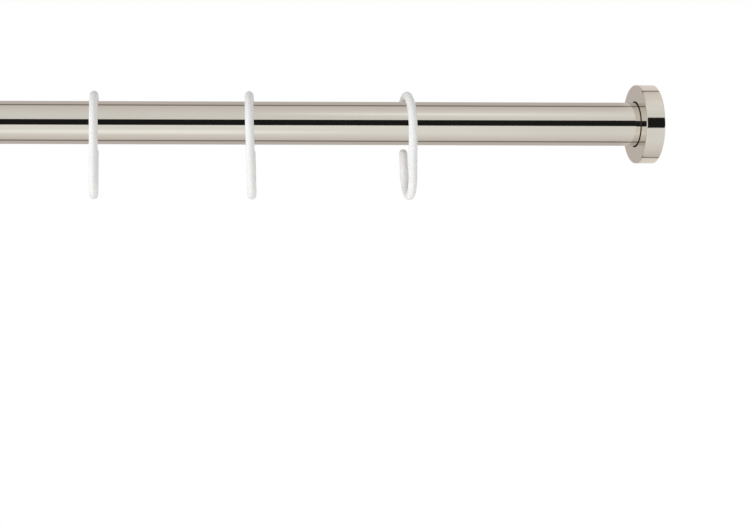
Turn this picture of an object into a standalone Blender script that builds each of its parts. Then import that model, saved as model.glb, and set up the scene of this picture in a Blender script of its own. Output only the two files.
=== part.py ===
"""Fixed straight curtain rod on two wall brackets, with sliding round covers and three open curtain hooks.

Frame: the rod runs along X between two walls. The origin is where its axis meets the right-hand wall,
the left-hand wall is at -X, +Z is up and -Y is the side that the curtain is looked at from.
"""

import math

import bmesh
import bpy
from mathutils import Matrix, Vector

MM = 0.001
INCH = 0.0254

# Driving sizes
WALL_TO_WALL = 60 * INCH
TUBE_RADIUS = 0.5 * INCH
TUBE_WALL = 1.0 * MM
COVER_RADIUS = 23.0 * MM
COVER_DEPTH = 10.5 * MM
COVER_WALL = 1.2 * MM
PLATE_RADIUS = 20.5 * MM
PLATE_THICKNESS = 3.0 * MM
SCREW_CIRCLE = 17.0 * MM
SCREW_ANGLES = (90, 210, 330)
HOOK_WIRE_RADIUS = 2.55 * MM
HOOK_LOWEST = 45.0 * MM  # from the rod's axis to the underside of a hook
HOOK_PLACES = (-328.3 * MM, -236.5 * MM, -144.0 * MM)
HOOK_YAWS = (9.7, 1.6, 5.0)  # degrees about the vertical, as each hook happens to hang
HOOK_LEANS = (0.0, -1.8, -1.5)  # degrees about the line of sight, the lower end to the right
GAP = 0.3 * MM  # between separate pieces that touch on the real object

# Worked out from the sizes above
TUBE_BORE = TUBE_RADIUS - TUBE_WALL
TUBE_START = PLATE_THICKNESS + GAP
COVER_FACE_BACK = COVER_DEPTH - COVER_WALL

# Segments round a turned piece
FINE, MEDIUM, COARSE = 64, 40, 16


def clear_scene():
    for old in list(bpy.data.objects):
        bpy.data.objects.remove(old, do_unlink=True)


def finish(name, colour, roughness, metallic):
    """One Principled material with a colour, a roughness and a metallic value."""
    material = bpy.data.materials.new(name)
    material.use_nodes = True
    shader = material.node_tree.nodes["Principled BSDF"]
    shader.inputs["Base Color"].default_value = (*colour, 1.0)
    shader.inputs["Roughness"].default_value = roughness
    shader.inputs["Metallic"].default_value = metallic
    return material


def carrier(name, place=(0, 0, 0)):
    """An empty on the rod's axis, which carries the pieces of one body."""
    empty = bpy.data.objects.new(name, None)
    bpy.context.scene.collection.objects.link(empty)
    empty.location = place
    return empty


def add_object(name, data, parent, material, place=(0, 0, 0)):
    piece = bpy.data.objects.new(name, data)
    bpy.context.scene.collection.objects.link(piece)
    piece.parent = parent
    piece.location = place
    if material:
        data.materials.append(material)
    return piece


def turned(name, profile, parent, material, segments=MEDIUM, place=(0, 0, 0)):
    """Revolves (along, radius) points round X. A profile that stays off the axis is closed into a ring."""
    mesh = bpy.data.meshes.new(name)
    shape = bmesh.new()
    corners = [shape.verts.new((along, 0, radius)) for along, radius in profile]
    for first, second in zip(corners, corners[1:]):
        shape.edges.new((first, second))
    if profile[0][1] > 0:
        shape.edges.new((corners[-1], corners[0]))
    outline = shape.verts[:] + shape.edges[:]
    bmesh.ops.spin(shape, geom=outline, axis=(1, 0, 0), angle=math.tau, steps=segments, use_merge=True)
    bmesh.ops.remove_doubles(shape, verts=shape.verts, dist=0.001 * MM)
    bmesh.ops.recalc_face_normals(shape, faces=shape.faces)
    shape.to_mesh(mesh)
    shape.free()
    mesh.shade_smooth()
    mesh.set_sharp_from_angle(angle=math.radians(30))
    return add_object(name, mesh, parent, material, place)


def cut(piece, cutter):
    """Takes the cutter's shape out of the piece with a Boolean, and hides the cutter."""
    cutter.hide_render = True
    cutter.display_type = "WIRE"
    boolean = piece.modifiers.new(cutter.name, "BOOLEAN")
    boolean.operation = "DIFFERENCE"
    boolean.object = cutter


def round_cutter(name, radius, length, parent, place):
    mesh = bpy.data.meshes.new(name)
    shape = bmesh.new()
    turn = Matrix.Rotation(math.radians(90), 4, "Y")
    bmesh.ops.create_cone(
        shape, cap_ends=True, segments=COARSE, radius1=radius, radius2=radius, depth=length, matrix=turn
    )
    shape.to_mesh(mesh)
    shape.free()
    return add_object(name, mesh, parent, None, place)


def box_cutter(name, size, parent, place):
    mesh = bpy.data.meshes.new(name)
    shape = bmesh.new()
    bmesh.ops.create_cube(shape, size=1, matrix=Matrix.Diagonal((*size, 1)))
    shape.to_mesh(mesh)
    shape.free()
    return add_object(name, mesh, parent, None, place)


def build_tube(root, nickel):
    """The tube slips over a spigot at each end and stops just short of both bracket plates."""
    chamfer = 0.15 * MM
    start, end = -TUBE_START, TUBE_START - WALL_TO_WALL
    profile = [
        (start, TUBE_BORE),
        (start, TUBE_RADIUS - chamfer),
        (start - chamfer, TUBE_RADIUS),
        (end + chamfer, TUBE_RADIUS),
        (end, TUBE_RADIUS - chamfer),
        (end, TUBE_BORE),
    ]
    turned("rod_tube", profile, root, nickel, FINE)


# The wall bracket: a die-cast plate with a hollow spigot for the tube. Its back is relieved, so that it bears
# on its middle and its rim.
SPIGOT_RADIUS = TUBE_BORE - GAP
SPIGOT_LENGTH = 20.0 * MM
SPIGOT_BORE = 9.0 * MM
SPIGOT_FLOOR = 3.6 * MM
PAD_RADIUS = 9.0 * MM
RELIEF_RADIUS = 12.0 * MM
RELIEF_DEPTH = 0.6 * MM
PLATE_CHAMFER = 0.4 * MM
SCREW_RADIUS = 1.75 * MM
SCREW_HOLE = SCREW_RADIUS + GAP


def bracket_profile():
    tip = PLATE_THICKNESS + SPIGOT_LENGTH
    return [
        (0, 0),
        (0, PAD_RADIUS),
        (RELIEF_DEPTH, PAD_RADIUS),
        (RELIEF_DEPTH, RELIEF_RADIUS),
        (0, RELIEF_RADIUS),
        (0, PLATE_RADIUS - PLATE_CHAMFER),
        (PLATE_CHAMFER, PLATE_RADIUS),
        (PLATE_THICKNESS - PLATE_CHAMFER, PLATE_RADIUS),
        (PLATE_THICKNESS, PLATE_RADIUS - PLATE_CHAMFER),
        (PLATE_THICKNESS, SPIGOT_RADIUS),
        (tip - PLATE_CHAMFER, SPIGOT_RADIUS),
        (tip, SPIGOT_RADIUS - PLATE_CHAMFER),
        (tip, SPIGOT_BORE),
        (SPIGOT_FLOOR, SPIGOT_BORE),
        (SPIGOT_FLOOR, 0),
    ]


# The cover: a cup with a hole for the tube. A ring behind its face holds a rubber seal that lines the hole.
RIM_CHAMFER = 0.4 * MM
BACK_CHAMFER = 0.2 * MM
SEAL_BORE = TUBE_RADIUS + 0.2 * MM
SEAL_LIP_RADIUS = SEAL_BORE + 0.2 * MM
SEAL_LIP_PROUD = 0.3 * MM
COVER_HOLE = SEAL_LIP_RADIUS + GAP
HOLE_CHAMFER = 0.2 * MM
SEAT_RADIUS = 15.0 * MM
SEAT_WALL = 1.0 * MM
SEAT_DEPTH = 2.1 * MM


def cover_profile():
    inside = COVER_RADIUS - COVER_WALL
    return [
        (0, inside),
        (0, COVER_RADIUS - BACK_CHAMFER),
        (BACK_CHAMFER, COVER_RADIUS),
        (COVER_DEPTH - RIM_CHAMFER, COVER_RADIUS),
        (COVER_DEPTH, COVER_RADIUS - RIM_CHAMFER),
        (COVER_DEPTH, COVER_HOLE + HOLE_CHAMFER),
        (COVER_DEPTH - HOLE_CHAMFER, COVER_HOLE),
        (COVER_FACE_BACK, COVER_HOLE),
        (COVER_FACE_BACK, SEAT_RADIUS),
        (COVER_FACE_BACK - SEAT_DEPTH, SEAT_RADIUS),
        (COVER_FACE_BACK - SEAT_DEPTH, SEAT_RADIUS + SEAT_WALL),
        (COVER_FACE_BACK, SEAT_RADIUS + SEAT_WALL),
        (COVER_FACE_BACK, inside),
    ]


def seal_profile():
    """A rubber wiper: a ring inside the seat, and a thin lip that just stands out of the cover's face."""
    back = COVER_FACE_BACK - SEAT_DEPTH
    front = COVER_FACE_BACK - GAP
    outside = SEAT_RADIUS - GAP
    return [
        (back, SEAL_BORE),
        (back, outside),
        (front, outside),
        (front, SEAL_LIP_RADIUS),
        (COVER_DEPTH + SEAL_LIP_PROUD, SEAL_LIP_RADIUS),
        (COVER_DEPTH + SEAL_LIP_PROUD, SEAL_BORE),
    ]


# The wall screws and their anchors
HEAD_RADIUS = 3.5 * MM
HEAD_HEIGHT = 2.4 * MM
HEAD_CROWN = 0.8 * MM
SCREW_REACH = 27.0 * MM  # past the wall's surface
POINT_LENGTH = 4.0 * MM
RECESS_DEPTH = 1.5 * MM
RECESS_SPAN = 3.8 * MM
RECESS_WIDTH = 1.0 * MM
ANCHOR_RADIUS = 3.1 * MM
ANCHOR_LENGTH = 30.0 * MM
ANCHOR_BORE = SCREW_RADIUS + GAP
ANCHOR_RIBS = 4
ANCHOR_RIB_DEPTH = 0.4 * MM
ANCHOR_SLIT = 0.8 * MM


def screw_profile():
    """Along the screw, which is positive away from the wall, as on every piece of an end."""
    seat = PLATE_THICKNESS + GAP
    return [
        (-SCREW_REACH, 0),
        (-SCREW_REACH + POINT_LENGTH, SCREW_RADIUS),
        (seat, SCREW_RADIUS),
        (seat, HEAD_RADIUS),
        (seat + HEAD_HEIGHT - HEAD_CROWN, HEAD_RADIUS),
        (seat + HEAD_HEIGHT, HEAD_RADIUS - 2 * HEAD_CROWN),
        (seat + HEAD_HEIGHT, 0),
    ]


def anchor_profile():
    """A ribbed plug, flush with the wall, with a bore right through it."""
    pitch = (ANCHOR_LENGTH - GAP) / (ANCHOR_RIBS + 1)
    root = ANCHOR_RADIUS - ANCHOR_RIB_DEPTH
    section = [(-GAP, ANCHOR_BORE), (-GAP, ANCHOR_RADIUS), (-GAP - pitch, ANCHOR_RADIUS)]
    for rib in range(1, ANCHOR_RIBS + 1):
        section += [(-GAP - rib * pitch, root), (-GAP - (rib + 0.8) * pitch, ANCHOR_RADIUS)]
    return section + [(-ANCHOR_LENGTH, root), (-ANCHOR_LENGTH, ANCHOR_BORE)]


def build_fastener(side, number, angle, end, finishes):
    """A screw through the bracket and its anchor, at one place on the screw circle."""
    turn = math.radians(angle)
    place = (0, SCREW_CIRCLE * math.cos(turn), SCREW_CIRCLE * math.sin(turn))
    screw = turned(f"{side}_wall_screw_{number}", screw_profile(), end, finishes["steel"], COARSE, place)
    head = PLATE_THICKNESS + GAP + HEAD_HEIGHT
    for axis, size in (("y", (RECESS_SPAN, RECESS_WIDTH)), ("z", (RECESS_WIDTH, RECESS_SPAN))):
        name = f"{side}_recess_{number}_{axis}"
        cut(screw, box_cutter(name, (2 * RECESS_DEPTH, *size), end, (head, *place[1:])))
    anchor = turned(f"{side}_wall_anchor_{number}", anchor_profile(), end, finishes["nylon"], COARSE, place)
    slit_size = (ANCHOR_LENGTH, ANCHOR_SLIT, 3 * ANCHOR_RADIUS)
    slit_place = (-ANCHOR_LENGTH, place[1], place[2])
    cut(anchor, box_cutter(f"{side}_slit_{number}", slit_size, end, slit_place))
    return place


def build_end(side, wall, turn, finishes):
    """Everything at one wall. Along +X of the two empties is away from the wall, to the rod's middle."""
    end = carrier(f"{side}_end", (wall, 0, 0))
    slide = carrier(f"{side}_cover_slide", (wall, 0, 0))
    for empty in (end, slide):
        empty.rotation_euler.z = turn
    bracket = turned(f"{side}_wall_bracket", bracket_profile(), end, finishes["zinc"], MEDIUM)
    for number, angle in enumerate(SCREW_ANGLES, 1):
        place = build_fastener(side, number, angle, end, finishes)
        name = f"{side}_screw_hole_{number}"
        cut(bracket, round_cutter(name, SCREW_HOLE, 4 * PLATE_THICKNESS, end, place))
    turned(f"{side}_flange_cover", cover_profile(), slide, finishes["nickel"], FINE)
    turned(f"{side}_cover_seal", seal_profile(), slide, finishes["rubber"], MEDIUM)


# A curtain hook is one moulded rod, bent round two arcs and open behind the tube
HOOK_TOP_ARC = 17.5 * MM
HOOK_BOTTOM_ARC = 13.5 * MM
HOOK_RIDE = 1.0 * MM  # the hook's inner top stands this far off the tube
HOOK_BACK_END = 86  # degrees round the top arc, behind the tube
HOOK_TIP_HEIGHT = -15.5 * MM  # top of the free tip, from the rod's axis
ARC_STEP = 12  # degrees
DOME_ANGLES = (0.6, 1.15)  # radians from the wire's full radius towards its tip


def arc(centre, radius, start, end):
    """Points on an arc whose angles, in degrees, run from straight up towards the front."""
    steps = math.ceil((end - start) / ARC_STEP)
    turns = [math.radians(start + (end - start) * step / steps) for step in range(steps + 1)]
    return [centre + radius * Vector((math.sin(turn), math.cos(turn))) for turn in turns]


def hook_line():
    """(forward, up) points of the centreline from behind the tube to the free tip, with a thickness each."""
    top = Vector((0, TUBE_RADIUS + HOOK_RIDE + HOOK_WIRE_RADIUS - HOOK_TOP_ARC))
    bottom = Vector((0, HOOK_WIRE_RADIUS - HOOK_LOWEST + HOOK_BOTTOM_ARC))
    taper = math.degrees(math.asin((HOOK_TOP_ARC - HOOK_BOTTOM_ARC) / (top - bottom).length))
    line = arc(top, HOOK_TOP_ARC, -HOOK_BACK_END, 90 + taper)
    line += arc(bottom, HOOK_BOTTOM_ARC, 90 + taper, 270 - taper)
    upwards = Vector((-math.sin(math.radians(taper)), math.cos(math.radians(taper))))
    rise = (HOOK_TIP_HEIGHT - HOOK_WIRE_RADIUS - line[-1].y) / upwards.y
    line.append(line[-1] + rise * upwards)
    downwards = (line[0] - line[1]).normalized()

    def dome(point, along):
        return [(point + HOOK_WIRE_RADIUS * math.sin(a) * along, math.cos(a)) for a in DOME_ANGLES]

    stations = dome(line[0], downwards)[::-1]
    stations += [(point, 1.0) for point in line]
    return stations + dome(line[-1], upwards)


def build_hook(number, place, yaw, lean, white):
    """A hook on its own empty, which is on the rod's axis so that it slides along it."""
    slide = carrier(f"hook_{number}_slide", (place, 0, 0))
    slide.rotation_euler = (0, math.radians(lean), math.radians(yaw))
    stations = hook_line()
    curve = bpy.data.curves.new(f"curtain_hook_{number}", "CURVE")
    curve.dimensions = "3D"
    curve.bevel_depth = HOOK_WIRE_RADIUS
    curve.bevel_resolution = 2
    curve.use_fill_caps = True
    spline = curve.splines.new("POLY")
    spline.points.add(len(stations) - 1)
    for point, ((forward, up), thickness) in zip(spline.points, stations):
        point.co = (0, -forward, up, 1)
        point.radius = thickness
    add_object(f"curtain_hook_{number}", curve, slide, white)


def main():
    clear_scene()
    finishes = {
        "nickel": finish("polished_nickel", (0.72, 0.66, 0.58), 0.08, 1.0),
        "zinc": finish("cast_zinc", (0.50, 0.51, 0.52), 0.45, 1.0),
        "steel": finish("plated_steel", (0.60, 0.61, 0.62), 0.35, 1.0),
        "nylon": finish("grey_nylon", (0.45, 0.46, 0.47), 0.5, 0.0),
        "rubber": finish("black_rubber", (0.02, 0.02, 0.02), 0.7, 0.0),
        "white": finish("white_plastic", (0.88, 0.89, 0.90), 0.25, 0.0),
    }
    build_tube(carrier("rod"), finishes["nickel"])
    build_end("right", 0, math.pi, finishes)
    build_end("left", -WALL_TO_WALL, 0, finishes)
    for number, stance in enumerate(zip(HOOK_PLACES, HOOK_YAWS, HOOK_LEANS), 1):
        build_hook(number, *stance, finishes["white"])


main()
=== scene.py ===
import math

import bmesh
import bpy
from mathutils import Matrix, Vector


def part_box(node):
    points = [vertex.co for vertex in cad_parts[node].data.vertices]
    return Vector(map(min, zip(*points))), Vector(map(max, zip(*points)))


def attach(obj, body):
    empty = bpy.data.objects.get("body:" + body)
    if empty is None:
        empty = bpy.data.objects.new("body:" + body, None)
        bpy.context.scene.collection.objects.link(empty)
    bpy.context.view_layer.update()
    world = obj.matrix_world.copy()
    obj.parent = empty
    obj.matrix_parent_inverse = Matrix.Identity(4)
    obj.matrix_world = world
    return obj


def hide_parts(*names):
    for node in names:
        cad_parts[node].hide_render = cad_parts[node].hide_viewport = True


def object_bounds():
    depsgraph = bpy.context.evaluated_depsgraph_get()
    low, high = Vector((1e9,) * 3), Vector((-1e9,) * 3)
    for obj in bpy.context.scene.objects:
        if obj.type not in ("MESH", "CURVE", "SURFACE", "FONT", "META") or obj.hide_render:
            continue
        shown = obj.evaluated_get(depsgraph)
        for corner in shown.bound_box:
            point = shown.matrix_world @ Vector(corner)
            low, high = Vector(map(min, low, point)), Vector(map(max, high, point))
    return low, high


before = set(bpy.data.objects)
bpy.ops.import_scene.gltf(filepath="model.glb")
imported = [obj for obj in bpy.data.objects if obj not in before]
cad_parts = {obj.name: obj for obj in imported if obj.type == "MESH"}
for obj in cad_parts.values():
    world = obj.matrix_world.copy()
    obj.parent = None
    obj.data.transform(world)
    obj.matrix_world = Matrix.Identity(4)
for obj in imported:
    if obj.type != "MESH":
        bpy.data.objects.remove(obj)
cad_low, cad_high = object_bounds()


# --- The tube -------------------------------------------------------------------------------------
# One length of 25.4 mm metal tube, nickel plated and buffed to a mirror. Both ends are cut square
# and slip over the spigots of the wall brackets, so nothing shows of how the tube is held.

MM = 0.001
TUBE_WALL = 1.0 * MM
TUBE_ROUNDING = 0.15 * MM
TUBE_STEPS = 160
CORNER_STEPS = 5
CORNER_SHARE = 0.45  # the most of a side that one rounded corner takes
LONG_SIDE = 3.0  # a side longer than this many roundings gets a holding point
HOLD_PLACE = 1.4  # how many roundings from the corner that point is
MERGE_WITHIN = 0.0005 * MM
BUFFING_DEPTH = 0.002 * MM
NICKEL_DULL = (0.80, 0.750, 0.685)
NICKEL_BRIGHT = (0.82, 0.772, 0.710)
TUBE_BUFFING = (6.0, 900.0, 900.0)  # marks per metre along X, Y and Z

tube_low, tube_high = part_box("rod_tube")
tube_radius = (tube_high.z - tube_low.z) / 2


def softened(outline, radius, closed):
    """The outline with rounded corners, and a point beside each that holds a long side's shading flat."""
    count = len(outline)
    points = [Vector(point) for point in outline]
    smooth = []
    for index, corner in enumerate(points):
        if not closed and index in (0, count - 1):
            smooth.append(corner)
            continue
        back, onward = points[index - 1] - corner, points[(index + 1) % count] - corner
        reach = min(radius, CORNER_SHARE * back.length, CORNER_SHARE * onward.length)
        start, end = corner + reach * back.normalized(), corner + reach * onward.normalized()
        if back.length > LONG_SIDE * reach:
            smooth.append(corner + HOLD_PLACE * reach * back.normalized())
        for step in range(CORNER_STEPS + 1):
            t = step / CORNER_STEPS
            smooth.append((1 - t) ** 2 * start + 2 * t * (1 - t) * corner + t**2 * end)
        if onward.length > LONG_SIDE * reach:
            smooth.append(corner + HOLD_PLACE * reach * onward.normalized())
    return smooth


def turned_mesh(name, outline, rounding, steps):
    """A lathe-turned mesh about X. The outline's points are (along, radius); off the axis it is a ring."""
    closed = outline[0][1] > 0
    outline = softened(outline, rounding, closed)
    shape = bmesh.new()
    corners = [shape.verts.new((along, 0, radius)) for along, radius in outline]
    for first, second in zip(corners, corners[1:]):
        shape.edges.new((first, second))
    if closed:
        shape.edges.new((corners[-1], corners[0]))
    section = shape.verts[:] + shape.edges[:]
    bmesh.ops.spin(shape, geom=section, axis=(1, 0, 0), angle=math.tau, steps=steps, use_merge=True)
    bmesh.ops.remove_doubles(shape, verts=shape.verts, dist=MERGE_WITHIN)
    bmesh.ops.recalc_face_normals(shape, faces=shape.faces)
    mesh = bpy.data.meshes.new(name)
    shape.to_mesh(mesh)
    shape.free()
    mesh.shade_smooth()
    return mesh


def place_piece(name, mesh, material, body, node, slot, place=(0, 0, 0), turn=0.0, lean=0.0):
    """Puts a mesh in place of a CAD node, to move with its body. Turn is about Z and lean about Y."""
    piece = bpy.data.objects.new(name, mesh)
    bpy.context.scene.collection.objects.link(piece)
    if not mesh.materials:
        mesh.materials.append(material)
    piece.location = place
    piece.rotation_euler = (0, lean, turn)
    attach(piece, body)
    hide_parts(node)
    return piece


class Wire:
    """A number that runs through a node tree. Arithmetic on it adds Math nodes."""

    def __init__(self, tree, socket):
        self.tree = tree
        self.socket = socket

    def math(self, operation, *values):
        return self.tree.node("ShaderNodeMath", {"operation": operation}, dict(enumerate(values)))

    def __add__(self, other):
        return self.math("ADD", self, other)

    def __sub__(self, other):
        return self.math("SUBTRACT", self, other)

    def __rsub__(self, other):
        return self.math("SUBTRACT", other, self)

    def __mul__(self, other):
        return self.math("MULTIPLY", self, other)

    def __truediv__(self, other):
        return self.math("DIVIDE", self, other)

    __radd__ = __add__
    __rmul__ = __mul__


class Finish:
    """A node tree that finishes are built in: a material's by default, or the world's."""

    def __init__(self, name, owner=None):
        self.owner = owner or bpy.data.materials.new(name)
        self.owner.use_nodes = True
        self.nodes = self.owner.node_tree.nodes
        self.links = self.owner.node_tree.links

    def feed(self, socket, value):
        """Links a wire to a socket, or sets the value that the socket holds by itself."""
        if isinstance(value, Wire):
            self.links.new(value.socket, socket)
        elif isinstance(value, tuple) and socket.type == "RGBA":
            socket.default_value = (*value, 1.0)
        else:
            socket.default_value = value

    def node(self, kind, settings=None, inputs=None, output=0):
        """Adds a node, with its settings made before its inputs are fed, and returns one output."""
        made = self.nodes.new(kind)
        for name, value in (settings or {}).items():
            setattr(made, name, value)
        for name, value in (inputs or {}).items():
            self.feed(made.inputs[name], value)
        return Wire(self, made.outputs[output])

    def place(self, scale=(1, 1, 1)):
        """The piece's own coordinates in metres, stretched by a scale."""
        own = self.node("ShaderNodeTexCoord", output="Object")
        return self.node("ShaderNodeMapping", inputs={"Vector": own, "Scale": scale})

    def noise(self, where, scale, detail=3.0):
        return self.node("ShaderNodeTexNoise", inputs={"Vector": where, "Scale": scale, "Detail": detail})

    def between(self, value, low, high, to_low=0.0, to_high=1.0):
        """How far a value is on its way from low to high, held inside them, on another scale."""
        spread = {"From Min": low, "From Max": high, "To Min": to_low, "To Max": to_high}
        return self.node("ShaderNodeMapRange", inputs={"Value": value, **spread})

    def tint(self, amount, first, second):
        """A colour on the way from the first to the second."""
        inputs = {0: amount, 6: first, 7: second}
        return self.node("ShaderNodeMix", {"data_type": "RGBA"}, inputs, output=2)

    def bump(self, height, depth, strength=1.0):
        return self.node("ShaderNodeBump", inputs={"Height": height, "Distance": depth, "Strength": strength})

    def shader(self, **sockets):
        """Sets the Principled shader's sockets; underscores stand for the spaces in their names."""
        principled = self.nodes["Principled BSDF"]
        for name, value in sockets.items():
            self.feed(principled.inputs[name.replace("_", " ")], value)
        return self.owner


def polished_nickel(name, stretch):
    """Buffed nickel plate. The stretch runs the faint buffing lines along the way the wheel went."""
    nickel = Finish(name)
    lines = nickel.noise(nickel.place(stretch), 1.0, 2.0)
    haze = nickel.noise(nickel.place(), 30.0, 4.0)
    roughness = nickel.between(lines, 0.3, 0.7, 0.035, 0.06) + nickel.between(haze, 0.4, 0.7, 0.0, 0.025)
    return nickel.shader(
        Base_Color=nickel.tint(nickel.between(haze, 0.3, 0.7), NICKEL_DULL, NICKEL_BRIGHT),
        Metallic=1.0,
        Roughness=roughness,
        Normal=nickel.bump(lines, BUFFING_DEPTH, 0.35),
    )


tube_length = tube_high.x - tube_low.x
tube_outline = [
    (0, tube_radius - TUBE_WALL),
    (0, tube_radius),
    (tube_length, tube_radius),
    (tube_length, tube_radius - TUBE_WALL),
]
tube_mesh = turned_mesh("rod_tube_plated", tube_outline, TUBE_ROUNDING, TUBE_STEPS)
tube_nickel = polished_nickel("nickel_drawn_tube", TUBE_BUFFING)
tube_place = (tube_low.x, 0, 0)
place_piece("rod_tube_plated", tube_mesh, tube_nickel, "rod", "rod_tube", "polished_nickel", tube_place)


# --- The wall brackets ----------------------------------------------------------------------------
# A die-cast zinc plate for each wall, with a hollow spigot that the tube slips over. The back is
# relieved between its middle and its rim, and three screws hold it. The cover hides all of it.

SPIGOT_RADIUS = 11.4 * MM
SPIGOT_BORE = 9.0 * MM
PLATE_THICKNESS = 3.0 * MM
SPIGOT_FLOOR = 3.6 * MM
SCREW_HOLE = 2.05 * MM
BACK_PAD = 9.0 * MM
BACK_RELIEF = 12.0 * MM
BACK_RELIEF_DEPTH = 0.6 * MM
RELIEF_SLOPE = 0.2 * MM
CASTING_ROUNDING = 0.4 * MM
CASTING_STEPS = 96
HOLE_FLARE = 0.4 * MM
HOLE_ROUNDING = 0.05 * MM
HOLE_STEPS = 48
DRILL_START = -1.0 * MM
SHARP_ANGLE = 32  # degrees that faces turn at an edge before it is crisp
GRAIN_DEPTH = 0.03 * MM
ZINC_DARK, ZINC_PALE = (0.40, 0.41, 0.42), (0.56, 0.565, 0.57)
ENDS = ("left", "right")


def wall_side(side):
    """Where a side's wall is along X, and the turn that points a piece's own +X away from it."""
    low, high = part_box(f"{side}_wall_bracket")
    return (low.x, 0.0) if side == "left" else (high.x, math.pi)


def fastener_place(side, number):
    """Where a screw's axis meets the plane of its wall."""
    low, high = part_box(f"{side}_wall_screw_{number}")
    return Vector((wall_side(side)[0], (low.y + high.y) / 2, (low.z + high.z) / 2))


def carve(mesh, cutter, places):
    """Cuts a cutter's shape out of a mesh at each place, and returns the carved mesh."""
    piece = bpy.data.objects.new("carving", mesh)
    bpy.context.scene.collection.objects.link(piece)
    tools = []
    for place in places:
        tool = bpy.data.objects.new("carving_tool", cutter)
        bpy.context.scene.collection.objects.link(tool)
        tool.location = place
        tools.append(tool)
        boolean = piece.modifiers.new("carve", "BOOLEAN")
        boolean.operation = "DIFFERENCE"
        boolean.object = tool
    carved = bpy.data.meshes.new_from_object(piece.evaluated_get(bpy.context.evaluated_depsgraph_get()))
    for scrap in (piece, *tools):
        bpy.data.objects.remove(scrap)
    carved.name = mesh.name
    carved.shade_smooth()
    carved.set_sharp_from_angle(angle=math.radians(SHARP_ANGLE))
    return carved


bracket_low, bracket_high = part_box("left_wall_bracket")
plate_radius = (bracket_high.z - bracket_low.z) / 2
spigot_end = bracket_high.x - bracket_low.x
bracket_outline = [
    (0, 0),
    (0, BACK_PAD),
    (BACK_RELIEF_DEPTH, BACK_PAD + RELIEF_SLOPE),
    (BACK_RELIEF_DEPTH, BACK_RELIEF - RELIEF_SLOPE),
    (0, BACK_RELIEF),
    (0, plate_radius),
    (PLATE_THICKNESS, plate_radius),
    (PLATE_THICKNESS, SPIGOT_RADIUS),
    (spigot_end, SPIGOT_RADIUS),
    (spigot_end, SPIGOT_BORE),
    (SPIGOT_FLOOR, SPIGOT_BORE),
    (SPIGOT_FLOOR, 0),
]
hole_outline = [
    (DRILL_START, 0),
    (DRILL_START, SCREW_HOLE),
    (PLATE_THICKNESS - HOLE_FLARE, SCREW_HOLE),
    (PLATE_THICKNESS + HOLE_FLARE, SCREW_HOLE + 2 * HOLE_FLARE),
    (PLATE_THICKNESS + HOLE_FLARE, 0),
]
zinc = Finish("cast_zinc")
grain = zinc.noise(zinc.place(), 1500.0, 5.0)
flow = zinc.noise(zinc.place(), 90.0, 3.0)
zinc.shader(
    Base_Color=zinc.tint(zinc.between(flow, 0.35, 0.65), ZINC_DARK, ZINC_PALE),
    Metallic=0.9,
    Roughness=zinc.between(grain, 0.35, 0.65, 0.38, 0.56),
    Normal=zinc.bump(grain, GRAIN_DEPTH, 0.6),
)
for side in ENDS:
    wall, turn = wall_side(side)
    own = Matrix.Rotation(-turn, 4, "Z")
    holes = [own @ (fastener_place(side, number) - Vector((wall, 0, 0))) for number in (1, 2, 3)]
    name, node = f"{side}_bracket_casting", f"{side}_wall_bracket"
    blank = turned_mesh(name, bracket_outline, CASTING_ROUNDING, CASTING_STEPS)
    drill = turned_mesh("screw_hole", hole_outline, HOLE_ROUNDING, HOLE_STEPS)
    casting = carve(blank, drill, holes)
    place_piece(name, casting, zinc.owner, "rod", node, "cast_zinc", (wall, 0, 0), turn)


# --- The wall screws ------------------------------------------------------------------------------
# Zinc-plated steel screws with a low pan head and a cross recess. A single sharp thread runs to the
# point. Their heads bear on the bracket's plate, close beside the tube, where a driver still reaches.

SHANK_RADIUS = 1.75 * MM
THREAD_ROOT = 1.25 * MM
THREAD_PITCH = 1.4 * MM
SCREW_SEAT = 3.3 * MM
POINT_LENGTH = 4.0 * MM
PLAIN_NECK = 1.2 * MM
RIDGE_SHARPNESS = 3.2  # a higher one makes the thread's ridge narrower
NECK_SHARE = 0.8  # how much of the thread's depth the plain neck fills
HEAD_BEVEL = 0.15 * MM
HEAD_SIDE = 1.0 * MM
CROWN_INWARD = 1.7 * MM
CROWN_STEPS = 8
RECESS_DEPTH = 1.5 * MM
RECESS_SPAN = 1.9 * MM
RECESS_HALF_WIDTH = 0.45 * MM
RECESS_ABOVE = 1.0 * MM
RECESS_TOP_SCALE = 1.25
RECESS_FLOOR_SCALE = 0.55
PLATING_DEPTH = 0.01 * MM
THREAD_STEPS = 32
ROWS_PER_TURN = 10
STEEL_DARK, STEEL_PALE = (0.58, 0.60, 0.62), (0.70, 0.70, 0.68)

screw_low, screw_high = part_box("left_wall_screw_1")
screw_wall = wall_side("left")[0]
screw_tip = screw_low.x - screw_wall
head_top = screw_high.x - screw_wall
head_radius = (screw_high.z - screw_low.z) / 2


def thread_radius(along, turn):
    """The threaded shank's radius at a place along it and round it."""
    taper = min(1.0, (along - screw_tip) / POINT_LENGTH)
    fade = min(1.0, max(0.0, (SCREW_SEAT - PLAIN_NECK - along) / THREAD_PITCH))
    phase = (along / THREAD_PITCH - turn / math.tau) % 1.0
    ridge = max(0.0, 1 - abs(phase - 0.5) * RIDGE_SHARPNESS)
    root = THREAD_ROOT + (1 - fade) * (SHANK_RADIUS - THREAD_ROOT) * NECK_SHARE
    return taper * (root + fade * ridge * (SHANK_RADIUS - root))


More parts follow.
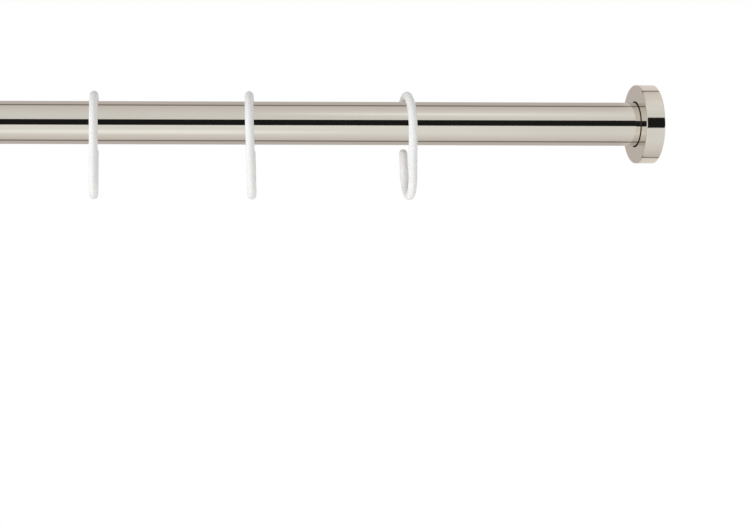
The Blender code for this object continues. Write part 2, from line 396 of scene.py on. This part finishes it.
def screw_mesh():
    """Rings of vertices from the point to the head's crown; the thread is in the rings' radii."""
    rings = []
    turns = [math.tau * step / THREAD_STEPS for step in range(THREAD_STEPS)]
    rows = round((SCREW_SEAT - screw_tip) / THREAD_PITCH * ROWS_PER_TURN)
    for row in range(1, rows):
        along = screw_tip + (SCREW_SEAT - screw_tip) * row / rows
        rings.append([(along, thread_radius(along, turn)) for turn in turns])
    crown = [(SCREW_SEAT, SHANK_RADIUS), (SCREW_SEAT, head_radius - HEAD_BEVEL)]
    crown.append((SCREW_SEAT + HEAD_BEVEL, head_radius))
    rise = head_top - SCREW_SEAT - HEAD_SIDE
    for step in range(CROWN_STEPS + 1):
        bend = math.radians(90 * step / CROWN_STEPS)
        inward = CROWN_INWARD * (1 - math.cos(bend))
        crown.append((SCREW_SEAT + HEAD_SIDE + rise * math.sin(bend), head_radius - inward))
    rings += [[point] * THREAD_STEPS for point in crown]
    shape = bmesh.new()
    loops = []
    for ring in rings:
        loop = []
        for turn, (along, radius) in zip(turns, ring):
            loop.append(shape.verts.new((along, radius * math.cos(turn), radius * math.sin(turn))))
        loops.append(loop)
    for lower, upper in zip(loops, loops[1:]):
        for step in range(THREAD_STEPS):
            after = (step + 1) % THREAD_STEPS
            shape.faces.new((lower[step], lower[after], upper[after], upper[step]))
    tip = shape.verts.new((screw_tip, 0, 0))
    for step in range(THREAD_STEPS):
        shape.faces.new((tip, loops[0][(step + 1) % THREAD_STEPS], loops[0][step]))
    shape.faces.new(loops[-1])
    bmesh.ops.recalc_face_normals(shape, faces=shape.faces)
    mesh = bpy.data.meshes.new("pan_head_screw")
    shape.to_mesh(mesh)
    shape.free()
    return mesh


def recess_tool():
    """A cross with tapered wings, as a driver's tip is."""
    half, span = RECESS_HALF_WIDTH, RECESS_SPAN
    corners = []
    for quarter in range(4):
        spin = Matrix.Rotation(math.pi / 2 * quarter, 2)
        corners += [spin @ Vector(corner) for corner in ((span, -half), (span, half), (half, half))]
    shape = bmesh.new()
    levels = (head_top + RECESS_ABOVE, RECESS_TOP_SCALE), (head_top - RECESS_DEPTH, RECESS_FLOOR_SCALE)
    layers = []
    for along, size in levels:
        layers.append([shape.verts.new((along, size * y, size * z)) for y, z in corners])
    top, bottom = layers
    for index in range(len(corners)):
        after = (index + 1) % len(corners)
        shape.faces.new((top[index], top[after], bottom[after], bottom[index]))
    shape.faces.new(top)
    shape.faces.new(bottom)
    bmesh.ops.recalc_face_normals(shape, faces=shape.faces)
    mesh = bpy.data.meshes.new("cross_recess")
    shape.to_mesh(mesh)
    shape.free()
    return mesh


steel = Finish("zinc_plated_steel")
plating = steel.noise(steel.place(), 400.0, 4.0)
steel.shader(
    Base_Color=steel.tint(steel.between(plating, 0.35, 0.65), STEEL_DARK, STEEL_PALE),
    Metallic=1.0,
    Roughness=steel.between(plating, 0.3, 0.7, 0.22, 0.36),
    Normal=steel.bump(plating, PLATING_DEPTH, 0.5),
)
screw = carve(screw_mesh(), recess_tool(), [(0, 0, 0)])
for side in ENDS:
    for number in (1, 2, 3):
        name, node = f"{side}_pan_head_screw_{number}", f"{side}_wall_screw_{number}"
        place = fastener_place(side, number)
        place_piece(name, screw, steel.owner, "rod", node, "plated_steel", place, wall_side(side)[1])


# --- The wall anchors -----------------------------------------------------------------------------
# Moulded grey nylon plugs, sunk flush in the wall. Backward-facing ribs grip the hole, and a slit
# through the inner half lets the screw spread the plug.

ANCHOR_BORE = 2.05 * MM
ANCHOR_RIBS = 4
ANCHOR_RIB_DEPTH = 0.4 * MM
ANCHOR_SLIT = 0.8 * MM
ANCHOR_ROUNDING = 0.15 * MM
ANCHOR_STEPS = 48
RIB_SHARE = 0.8  # how much of the pitch a rib's slope takes
MOULD_DEPTH = 0.02 * MM
NYLON_DARK, NYLON_PALE = (0.36, 0.37, 0.38), (0.44, 0.45, 0.46)

anchor_low, anchor_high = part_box("left_wall_anchor_1")
anchor_radius = (anchor_high.z - anchor_low.z) / 2
anchor_mouth, anchor_end = anchor_high.x - screw_wall, anchor_low.x - screw_wall
rib_pitch = (anchor_mouth - anchor_end) / (ANCHOR_RIBS + 1)
anchor_root = anchor_radius - ANCHOR_RIB_DEPTH
anchor_outline = [(anchor_mouth, ANCHOR_BORE), (anchor_mouth, anchor_radius)]
anchor_outline.append((anchor_mouth - rib_pitch, anchor_radius))
for rib in range(1, ANCHOR_RIBS + 1):
    start = anchor_mouth - rib * rib_pitch
    anchor_outline += [(start, anchor_root), (start - RIB_SHARE * rib_pitch, anchor_radius)]
anchor_outline += [(anchor_end, anchor_root), (anchor_end, ANCHOR_BORE)]
anchor_mesh = turned_mesh("nylon_anchor", anchor_outline, ANCHOR_ROUNDING, ANCHOR_STEPS)
slit_mesh = bpy.data.meshes.new("anchor_slit")
slit = bmesh.new()
slit_size = (anchor_mouth - anchor_end, ANCHOR_SLIT, 3 * anchor_radius)
bmesh.ops.create_cube(slit, size=1, matrix=Matrix.Diagonal((*slit_size, 1)))
slit.to_mesh(slit_mesh)
slit.free()
anchor = carve(anchor_mesh, slit_mesh, [(anchor_end, 0, 0)])

nylon = Finish("grey_nylon")
mottle = nylon.noise(nylon.place(), 700.0, 4.0)
nylon.shader(
    Base_Color=nylon.tint(nylon.between(mottle, 0.3, 0.7), NYLON_DARK, NYLON_PALE),
    Roughness=nylon.between(mottle, 0.3, 0.7, 0.42, 0.55),
    Normal=nylon.bump(mottle, MOULD_DEPTH, 0.5),
)
for side in ENDS:
    for number in (1, 2, 3):
        name, node = f"{side}_nylon_anchor_{number}", f"{side}_wall_anchor_{number}"
        place = fastener_place(side, number)
        place_piece(name, anchor, nylon.owner, "rod", node, "grey_nylon", place, wall_side(side)[1])


# --- The flange covers ----------------------------------------------------------------------------
# Turned brass cups, nickel plated and buffed, that slide along the tube and hide the brackets. The
# face is flat with a crisp rim and a hole for the tube. A ring behind the face holds the rubber seal.

COVER_WALL = 1.2 * MM
HOLE_CLEARANCE = 0.7 * MM
HOLE_CHAMFER = 0.2 * MM
SEAL_GAP = 0.3 * MM
SEAT_RADIUS = 15.0 * MM
SEAT_WALL = 1.0 * MM
SEAT_DEPTH = 2.1 * MM
RIM_ROUNDING = 0.7 * MM
RIM_SHARP_ANGLE = 40
COVER_STEPS = 192
COVER_BUFFING = (700.0, 40.0, 40.0)

cover_low, cover_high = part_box("left_flange_cover")
cover_radius = (cover_high.z - cover_low.z) / 2
cover_depth = cover_high.x - cover_low.x
face_back = cover_depth - COVER_WALL
cover_hole = tube_radius + HOLE_CLEARANCE
cover_inside = cover_radius - COVER_WALL
cover_outline = [
    (0, cover_inside),
    (0, cover_radius),
    (cover_depth, cover_radius),
    (cover_depth, cover_hole + HOLE_CHAMFER),
    (cover_depth - HOLE_CHAMFER, cover_hole),
    (face_back, cover_hole),
    (face_back, SEAT_RADIUS),
    (face_back - SEAT_DEPTH, SEAT_RADIUS),
    (face_back - SEAT_DEPTH, SEAT_RADIUS + SEAT_WALL),
    (face_back, SEAT_RADIUS + SEAT_WALL),
    (face_back, cover_inside),
]
cover_mesh = turned_mesh("nickel_cover", cover_outline, RIM_ROUNDING, COVER_STEPS)
cover_mesh.set_sharp_from_angle(angle=math.radians(RIM_SHARP_ANGLE))
cover_nickel = polished_nickel("nickel_turned_cover", COVER_BUFFING)
for side in ENDS:
    wall, turn = wall_side(side)
    name, node = f"{side}_nickel_cover", f"{side}_flange_cover"
    place_piece(name, cover_mesh, cover_nickel, f"{side}_cover", node, "polished_nickel", (wall, 0, 0), turn)


# --- The cover seals ------------------------------------------------------------------------------
# Black rubber rings held behind each cover's face. They centre the cover on the tube and their grip
# keeps it pushed up to the wall. A thin wiping lip stands out of the hole as a dark line round the tube.

SEAL_CLEARANCE = 0.05 * MM
SEAL_LIP = 0.35 * MM
SEAL_LIP_PROUD = 0.3 * MM
SEAL_ROUNDING = 0.1 * MM
BLOOM_DEPTH = 0.02 * MM
RUBBER_DARK, RUBBER_PALE = (0.012, 0.012, 0.012), (0.03, 0.03, 0.03)

seal_bore = tube_radius + SEAL_CLEARANCE
seal_outside = SEAT_RADIUS - SEAL_GAP
seal_outline = [
    (face_back - SEAT_DEPTH, seal_bore),
    (face_back - SEAT_DEPTH, seal_outside),
    (face_back - SEAL_GAP, seal_outside),
    (face_back - SEAL_GAP, seal_bore + SEAL_LIP),
    (cover_depth + SEAL_LIP_PROUD, seal_bore + SEAL_LIP),
    (cover_depth + SEAL_LIP_PROUD, seal_bore),
]
seal_mesh = turned_mesh("rubber_seal", seal_outline, SEAL_ROUNDING, COVER_STEPS)
rubber = Finish("black_rubber")
bloom = rubber.noise(rubber.place(), 500.0, 4.0)
rubber.shader(
    Base_Color=rubber.tint(rubber.between(bloom, 0.4, 0.7), RUBBER_DARK, RUBBER_PALE),
    Roughness=rubber.between(bloom, 0.3, 0.7, 0.5, 0.7),
    Normal=rubber.bump(bloom, BLOOM_DEPTH, 0.5),
)
for side in ENDS:
    wall, turn = wall_side(side)
    name, node = f"{side}_rubber_seal", f"{side}_cover_seal"
    place_piece(name, seal_mesh, rubber.owner, f"{side}_cover", node, "black_rubber", (wall, 0, 0), turn)


# --- The curtain hooks ----------------------------------------------------------------------------
# Each is one injection-moulded white plastic rod, bent round a wide arc over the tube and a tighter one
# below it, and open behind so that it snaps on. A faint parting line runs along its inside and outside.
# The hooks don't show in the metal's reflections.

WIRE_RADIUS = 2.55 * MM
TOP_ARC = 17.5 * MM
BOTTOM_ARC = 13.5 * MM
RIDE = 1.0 * MM  # the room between the tube's top and the inside of the hook
BACK_END = 86  # degrees that the wide arc runs down behind the tube
TIP_HEIGHT = -15.5 * MM
HOOK_PLACES = (-328.3 * MM, -236.5 * MM, -144.0 * MM)
HOOK_YAWS = (9.7, 1.6, 5.0)  # degrees about Z
HOOK_LEANS = (0.0, -1.8, -1.5)  # degrees about Y
PARTING_LINE = 0.03 * MM
PARTING_SHARPNESS = 20
RIPPLE_DEPTH = 0.02 * MM
WIRE_SIDES = 40
ARC_STEP = 2.5  # degrees
DOME_STEPS = 8
HOOK_DULL, HOOK_WHITE = (0.875, 0.885, 0.90), (0.90, 0.905, 0.915)

hook_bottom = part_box("curtain_hook_1")[0].z


def arc(centre, radius, start, end):
    """Points on an arc whose angles, in degrees, run from straight up towards the front."""
    steps = math.ceil((end - start) / ARC_STEP)
    turns = [math.radians(start + (end - start) * step / steps) for step in range(steps + 1)]
    return [centre + radius * Vector((math.sin(turn), math.cos(turn))) for turn in turns]


def hook_line():
    """The centreline as (forward, up) points, from the end behind the tube to the free tip."""
    top = Vector((0, tube_radius + RIDE + WIRE_RADIUS - TOP_ARC))
    bottom = Vector((0, hook_bottom + WIRE_RADIUS + BOTTOM_ARC))
    taper = math.degrees(math.asin((TOP_ARC - BOTTOM_ARC) / (top - bottom).length))
    line = arc(top, TOP_ARC, -BACK_END, 90 + taper)
    line += arc(bottom, BOTTOM_ARC, 90 + taper, 270 - taper)
    upwards = Vector((-math.sin(math.radians(taper)), math.cos(math.radians(taper))))
    rise = (TIP_HEIGHT - WIRE_RADIUS - line[-1].y) / upwards.y
    return line + [line[-1] + rise * upwards]


def hook_stations():
    """(centre, direction, thickness) all along the hook, with a domed tip at each end."""
    line = hook_line()
    neighbours = zip(line[:1] + line, line[1:] + line[-1:])
    directions = [(after - before).normalized() for before, after in neighbours]
    stations = [(point, direction, 1.0) for point, direction in zip(line, directions)]
    first, last = stations[0], stations[-1]
    for step in range(1, DOME_STEPS):
        bend = math.pi / 2 * step / DOME_STEPS
        reach, thickness = WIRE_RADIUS * math.sin(bend), math.cos(bend)
        stations.append((last[0] + reach * last[1], last[1], thickness))
        stations.insert(0, (first[0] - reach * first[1], first[1], thickness))
    return stations


def hook_mesh():
    """Rings of vertices along the stations; the parting line is in the rings' radii."""
    shape = bmesh.new()
    loops = []
    for centre, direction, thickness in hook_stations():
        outward = Vector((direction.y, -direction.x))
        loop = []
        for side in range(WIRE_SIDES):
            turn = math.tau * side / WIRE_SIDES
            ridge = PARTING_LINE * max(0.0, 1 - PARTING_SHARPNESS * (1 - abs(math.cos(turn))))
            radius = thickness * (WIRE_RADIUS - PARTING_LINE + ridge)
            spot = centre + radius * math.cos(turn) * outward
            loop.append(shape.verts.new((radius * math.sin(turn), -spot.x, spot.y)))
        loops.append(loop)
    for lower, upper in zip(loops, loops[1:]):
        for side in range(WIRE_SIDES):
            after = (side + 1) % WIRE_SIDES
            shape.faces.new((lower[side], lower[after], upper[after], upper[side]))
    shape.faces.new(loops[0])
    shape.faces.new(loops[-1])
    bmesh.ops.recalc_face_normals(shape, faces=shape.faces)
    mesh = bpy.data.meshes.new("white_hook")
    shape.to_mesh(mesh)
    shape.free()
    mesh.shade_smooth()
    return mesh


white = Finish("white_plastic")
ripple = white.noise(white.place(), 120.0, 2.0)
texture = white.noise(white.place(), 2500.0, 2.0)
white.shader(
    Base_Color=white.tint(white.between(ripple, 0.35, 0.65), HOOK_DULL, HOOK_WHITE),
    Roughness=white.between(ripple, 0.3, 0.7, 0.24, 0.32),
    Normal=white.bump(texture * 0.2 + ripple, RIPPLE_DEPTH, 0.3),
    Subsurface_Weight=0.15,
    Subsurface_Scale=0.002,
)
hook_shape = hook_mesh()
for number, (x, yaw, lean) in enumerate(zip(HOOK_PLACES, HOOK_YAWS, HOOK_LEANS), 1):
    name, node = f"white_hook_{number}", f"curtain_hook_{number}"
    stance = ((x, 0, 0), math.radians(yaw), math.radians(lean))
    hook = place_piece(name, hook_shape, white.owner, f"hook_{number}", node, "white_plastic", *stance)
    hook.visible_glossy = False


# --- The studio -----------------------------------------------------------------------------------
# A pale floor as far below as such a rod hangs, and a surround that the camera itself sees as plain white.
# In the polished metal it shows as a bright panel above and another below, with a dark gap between them
# where the camera stands and a thin dark seam where each one ends.

FLOOR_DROP = 1.95
FLOOR_SIZE = 8.0
FLOOR_DULL, FLOOR_PALE = (0.83, 0.83, 0.82), (0.86, 0.86, 0.85)
FLOOR_GLOW, FLOOR_GLOW_LEVEL = (1.0, 1.0, 0.99), 0.35
WHITE = (1.0, 1.0, 1.0)
WALL_CARD_LENGTH = 0.20
WALL_CARD_HEIGHT = 0.12
WALL_CARD_FORWARD = 0.104
CARD_CLEARANCE = 0.2 * MM
KEY_PLACE, KEY_WATTS = (-1.6, -0.9, -0.15), 11
FILL_PLACE, FILL_WATTS = (0.4, -1.3, 0.1), 2
SOFTBOX_SIZE = 1.0

# In the surround an angle is in degrees, up or down from the way towards the camera. A way to the side goes
# from -1 at the left to 1 at the right.
FRONT_ABOVE, FRONT_BELOW, FRONT_BLUR = 0.73, 0.84, 5
OVERHEAD, OVERHEAD_START, OVERHEAD_END = 0.58, 50, 105
BACK_LEFT, BACK_RIGHT = 0.52, 0.76
BACK_STEP, BACK_STEP_BLUR = 0.3, 0.01
SEAM_ANGLE, SEAM_HALF_WIDTH, SEAM_LEVEL, SEAM_BLUR = 109.5, 5.5, 0.19, 1
SEAM_ANGLE_RIGHT, SEAM_HALF_WIDTH_RIGHT = 114.0, 3.0
GAP_TOP, GAP_BOTTOM, GAP_BLUR = 18.8, -11.1, 0.7
GAP_TILT, GAP_LEVEL = 3.0, 0.012
GAP_LEFT_END, GAP_END_BLUR = -0.4, 0.05
COOL_ROOM, WARM_ROOM = (0.99, 1.01, 0.985), (1.055, 0.995, 0.95)
WARM_START, WARM_END = 45, 100

# The soft patches on the panels: the angle up, its spread, the way to the side, its width, and the change.
LOW_PATCH = (-49, 16, -0.15, 0.22, 0.17)
LOW_RIGHT_SHADE = (-30, 50, 0.27, 0.12, -0.07)
HIGH_PATCH = (51, 9, 0.12, 0.17, 0.13)
HIGH_RIGHT_PATCH = (54, 26, 0.20, 0.26, 0.08)
OVERHEAD_RIGHT_PATCH = (88, 40, 0.36, 0.075, 0.15)


def flat_card(name, size, place, material):
    """A flat square that is stage, not part of the object, and doesn't show in reflections."""
    mesh = bpy.data.meshes.new(name)
    shape = bmesh.new()
    bmesh.ops.create_grid(shape, x_segments=1, y_segments=1, size=size / 2)
    shape.to_mesh(mesh)
    shape.free()
    mesh.materials.append(material)
    card = bpy.data.objects.new(name, mesh)
    bpy.context.scene.collection.objects.link(card)
    card.location = place
    card.visible_glossy = False
    return card


pale = Finish("pale_floor")
scuff = pale.noise(pale.place(), 3.0, 4.0)
pale.shader(
    Base_Color=pale.tint(pale.between(scuff, 0.3, 0.7), FLOOR_DULL, FLOOR_PALE),
    Roughness=0.8,
    Emission_Color=FLOOR_GLOW,
    Emission_Strength=FLOOR_GLOW_LEVEL,
)
middle_x = (cad_low.x + cad_high.x) / 2
flat_card("studio_floor", FLOOR_SIZE, (middle_x, 0, -FLOOR_DROP), pale.owner)

# A plain white card stands for the part of the right-hand wall that hides the screws and anchors. It is seen
# only from the rod's side of the wall, and neither lights the object nor shows in its reflections.
shown_wall = Finish("white_wall")
front = shown_wall.node("ShaderNodeEmission", inputs={"Color": WHITE, "Strength": 1.0})
through = shown_wall.node("ShaderNodeBsdfTransparent")
side_seen = shown_wall.node("ShaderNodeNewGeometry", output="Backfacing")
one_sided = shown_wall.node("ShaderNodeMixShader", inputs={0: side_seen, 1: front, 2: through})
shown_wall.links.new(one_sided.socket, shown_wall.nodes["Material Output"].inputs["Surface"])
card_place = (wall_side("right")[0] + CARD_CLEARANCE, -WALL_CARD_FORWARD, 0)
wall_card = flat_card("wall_card", WALL_CARD_LENGTH, card_place, shown_wall.owner)
wall_card.rotation_euler.y = math.radians(-90)
wall_card.scale.x = WALL_CARD_HEIGHT / WALL_CARD_LENGTH
wall_card.visible_diffuse = False
wall_card.visible_shadow = False

world = bpy.data.worlds.new("studio_surround")
bpy.context.scene.world = world
surround = Finish("surround", world)
toward = surround.node("ShaderNodeTexCoord", output="Generated")
split = surround.node("ShaderNodeSeparateXYZ", inputs={"Vector": toward})
aside, ahead, up = (Wire(surround, split.socket.node.outputs[axis]) for axis in "XYZ")
height = split.math("ARCTAN2", up, ahead * -1.0) * math.degrees(1)
steep = split.math("ABSOLUTE", height)


def blend(amount, first, second):
    """A number that goes from the first to the second as the amount goes from 0 to 1."""
    return first + (second - first) * amount


def glow(angle, spread, side, width, amount):
    """A soft patch on a panel, brighter or darker by the amount at its middle."""
    off_angle, off_side = (height - angle) / spread, (aside - side) / width
    return split.math("MAXIMUM", 1 - off_angle * off_angle - off_side * off_side, 0.0) * amount


front_panel = blend(surround.between(height, FRONT_BLUR, -FRONT_BLUR), FRONT_ABOVE, FRONT_BELOW)
panel = blend(surround.between(steep, OVERHEAD_START, OVERHEAD_END), front_panel, OVERHEAD)
panel += glow(*LOW_PATCH) + glow(*LOW_RIGHT_SHADE)
panel += glow(*HIGH_PATCH) + glow(*HIGH_RIGHT_PATCH) + glow(*OVERHEAD_RIGHT_PATCH)
to_right = surround.between(aside, BACK_STEP - BACK_STEP_BLUR, BACK_STEP + BACK_STEP_BLUR)
back_wall = blend(to_right, BACK_LEFT, BACK_RIGHT)
from_seam = split.math("ABSOLUTE", steep - blend(to_right, SEAM_ANGLE, SEAM_ANGLE_RIGHT))
past_seam = from_seam - blend(to_right, SEAM_HALF_WIDTH, SEAM_HALF_WIDTH_RIGHT)
seam = surround.between(past_seam, SEAM_BLUR, -SEAM_BLUR)
behind_seam = surround.between(steep, SEAM_ANGLE - SEAM_BLUR, SEAM_ANGLE + SEAM_BLUR)
wall_level = blend(behind_seam, panel, back_wall)
tilted = height - aside * GAP_TILT
above_gap = surround.between(tilted, GAP_TOP - GAP_BLUR, GAP_TOP + GAP_BLUR)
below_gap = surround.between(tilted, GAP_BOTTOM + GAP_BLUR, GAP_BOTTOM - GAP_BLUR)
past_left_end = surround.between(aside, GAP_LEFT_END - GAP_END_BLUR, GAP_LEFT_END + GAP_END_BLUR)
gap = (1 - above_gap) * (1 - below_gap) * past_left_end
room = surround.tint(surround.between(steep, WARM_START, WARM_END), COOL_ROOM, WARM_ROOM)
light = blend(gap, blend(seam, wall_level, SEAM_LEVEL), GAP_LEVEL)
lit = surround.node("ShaderNodeBackground", inputs={"Color": room, "Strength": light})
plain = surround.node("ShaderNodeBackground", inputs={"Color": WHITE, "Strength": 1.0})
seen = surround.node("ShaderNodeLightPath", output="Is Camera Ray")
both = surround.node("ShaderNodeMixShader", inputs={0: seen, 1: lit, 2: plain})
surround.links.new(both.socket, surround.nodes["World Output"].inputs["Surface"])


def soft_light(name, place, aim, size, watts):
    """A square softbox that lights without showing in reflections."""
    light = bpy.data.lights.new(name, "AREA")
    light.shape = "SQUARE"
    light.size = size
    light.energy = watts
    lamp = bpy.data.objects.new(name, light)
    bpy.context.scene.collection.objects.link(lamp)
    lamp.location = place
    lamp.rotation_euler = (Vector(aim) - Vector(place)).to_track_quat("-Z", "Y").to_euler()
    lamp.visible_glossy = False
    return lamp


light_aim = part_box("curtain_hook_2")[0]
soft_light("key_softbox", KEY_PLACE, light_aim, SOFTBOX_SIZE, KEY_WATTS)
soft_light("fill_softbox", FILL_PLACE, light_aim, SOFTBOX_SIZE, FILL_WATTS)

# The camera looks square at the rod from beside its right-hand end, level with it.
CAMERA_DISTANCE = 620 * MM
FACE_TO_CAMERA = 196.6 * MM
CAMERA_ROLL = 0.18  # degrees
LENS, SENSOR = 50.6, 36.0
SHIFT_ASIDE, SHIFT_UP = 0.10, -0.187

camera_data = bpy.data.cameras.new("camera")
camera_data.lens = LENS
camera_data.sensor_width = SENSOR
camera_data.shift_x = SHIFT_ASIDE
camera_data.shift_y = SHIFT_UP
camera = bpy.data.objects.new("camera", camera_data)
bpy.context.scene.collection.objects.link(camera)
right_wall = wall_side("right")[0]
camera.location = (right_wall - cover_depth - FACE_TO_CAMERA, -CAMERA_DISTANCE, 0)
camera.rotation_euler = (math.radians(90), math.radians(-CAMERA_ROLL), 0)
bpy.context.scene.camera = camera
bpy.context.scene.view_settings.view_transform = "Standard"
